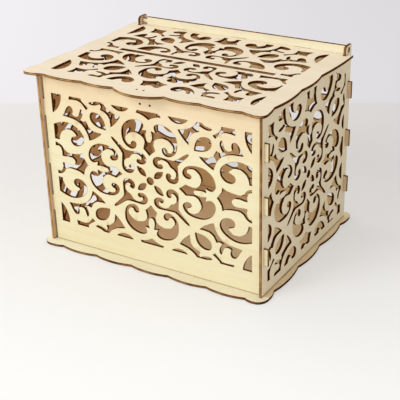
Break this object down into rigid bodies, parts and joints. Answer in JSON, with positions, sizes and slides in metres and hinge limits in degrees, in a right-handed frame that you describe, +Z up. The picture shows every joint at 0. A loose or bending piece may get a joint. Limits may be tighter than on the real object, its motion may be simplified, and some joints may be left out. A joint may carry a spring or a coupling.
{
  "type": "wedding card box",
  "caption": "Slotted plywood card box with scroll openwork walls, a scalloped base and a hinged scalloped lid with a long slot for envelopes.",
  "frame": {"origin": "middle of the base plate's underside, on the surface the box stands on", "axes": "+X to the right along the long side, +Y to the rear where the hinge is, +Z up"},
  "size_m": [0.3107, 0.25, 0.227],
  "materials": {
    "plywood": "bare pale plywood with brown scorched laser-cut edges"
  },
  "bodies": {
    "box": {"base_plate": "plywood", "front_panel": "plywood", "back_panel": "plywood", "left_panel": "plywood", "right_panel": "plywood"},
    "lid": {"lid": "plywood", "hinge_strip": "plywood"}
  },
  "joints": [
    {"name": "lid_hinge", "type": "hinge", "parent": "box", "child": "lid", "pos_m": [0, 0.1028, 0.2213], "axis": [-1, 0, 0], "range_deg": [0, 240]}
  ]
}
